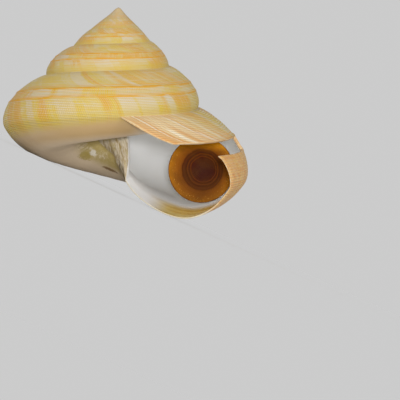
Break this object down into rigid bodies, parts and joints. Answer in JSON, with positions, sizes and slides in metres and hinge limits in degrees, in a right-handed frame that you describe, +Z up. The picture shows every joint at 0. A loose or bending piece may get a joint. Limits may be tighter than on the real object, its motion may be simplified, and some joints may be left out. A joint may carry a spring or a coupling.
{
  "type": "slit shell",
  "caption": "Thin top-shaped sea snail shell with a long slit in its outer lip and a round, dished horny lid set inside its open mouth.",
  "frame": {"origin": "middle of the footprint of the shell's box, on the surface that it stands on", "axes": "+Z up from the surface the shell rests on, -Y out of the shell's mouth, spire leaning to -X"},
  "size_m": [0.1018, 0.099, 0.0697],
  "materials": {
    "shell_lime": "satin, finely beaded, cream to golden yellow with rusty flames, white and glossy inside",
    "horn": "glossy amber to dark brown horn"
  },
  "bodies": {
    "root": {"shell": "shell_lime", "operculum": "horn"}
  },
  "joints": []
}
